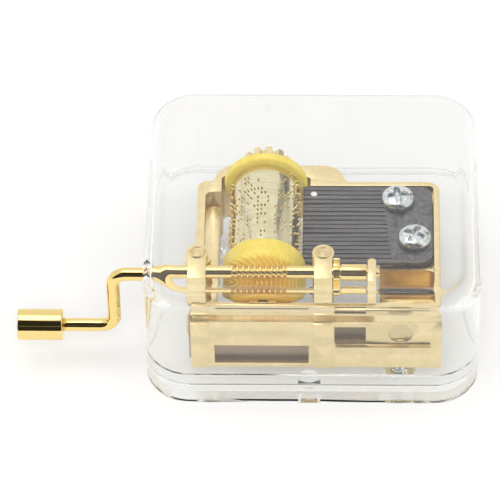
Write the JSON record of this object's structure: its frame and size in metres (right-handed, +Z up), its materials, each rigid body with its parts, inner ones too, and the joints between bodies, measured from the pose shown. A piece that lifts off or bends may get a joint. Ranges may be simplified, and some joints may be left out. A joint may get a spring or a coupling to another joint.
{
  "type": "hand crank music box",
  "caption": "Hand crank music box: a clear two-part case round a cast base with a steel comb, a pinned cylinder, a worm and wheel and a bent crank with a turning knob.",
  "frame": {"origin": "middle of the case's flat underside", "axes": "+X to the right, away from the crank; +Y to the back, along the cylinder's arbor; +Z up"},
  "size_m": [0.0832, 0.053, 0.028],
  "materials": {
    "case_cover": "clear moulded acrylic, gloss",
    "case_tray": "clear moulded acrylic, gloss",
    "tray_screw_1": "zinc plated",
    "tray_screw_2": "zinc plated",
    "tray_screw_3": "zinc plated",
    "movement_base": "satin gold plated die casting",
    "comb": "dark hardened steel, streaked",
    "comb_weight_1": "dull lead",
    "comb_weight_2": "dull lead",
    "comb_weight_3": "dull lead",
    "comb_weight_4": "dull lead",
    "comb_weight_5": "dull lead",
    "comb_screw_back": "bright zinc",
    "comb_screw_front": "bright zinc",
    "cylinder_barrel": "polished, pale",
    "cylinder_arbor": "bright drawn",
    "worm_wheel": "moulded yellow",
    "rear_flange": "moulded yellow",
    "rear_hub": "satin gold plated",
    "crank_rod": "polished gold plated",
    "crank_knob": "polished gold plated",
    "knob_cap": "polished gold plated",
    "shaft_collar": "polished gold plated",
    "shaft_sleeve": "polished gold plated"
  },
  "bodies": {
    "base": {"movement_base": "movement_base", "case_cover": "case_cover", "case_tray": "case_tray", "tray_screw_1": "tray_screw_1", "tray_screw_2": "tray_screw_2", "tray_screw_3": "tray_screw_3", "comb": "comb", "comb_screw_back": "comb_screw_back", "comb_screw_front": "comb_screw_front", "comb_weight_1": "comb_weight_1", "comb_weight_2": "comb_weight_2", "comb_weight_3": "comb_weight_3", "comb_weight_4": "comb_weight_4", "comb_weight_5": "comb_weight_5"},
    "crank": {"crank_rod": "crank_rod", "knob_cap": "knob_cap", "shaft_collar": "shaft_collar", "shaft_sleeve": "shaft_sleeve"},
    "knob": {"crank_knob": "crank_knob"},
    "cylinder": {"cylinder_barrel": "cylinder_barrel", "cylinder_arbor": "cylinder_arbor", "worm_wheel": "worm_wheel", "rear_flange": "rear_flange", "rear_hub": "rear_hub"}
  },
  "joints": [
    {"name": "crank_turn", "type": "hinge", "parent": "base", "child": "crank", "pos_m": [0, -0.0147, 0.02168], "axis": [1, 0, 0], "continuous": true},
    {"name": "cylinder_turn", "type": "hinge", "parent": "base", "child": "cylinder", "pos_m": [-0.0088, 0, 0.015], "axis": [0, 1, 0], "continuous": true},
    {"name": "knob_spin", "type": "hinge", "parent": "crank", "child": "knob", "pos_m": [-0.049, -0.0147, 0.00788], "axis": [1, 0, 0], "continuous": true}
  ],
  "couplings": [
    {"joint": "cylinder_turn", "follows": "crank_turn", "ratio": 0.027778}
  ]
}
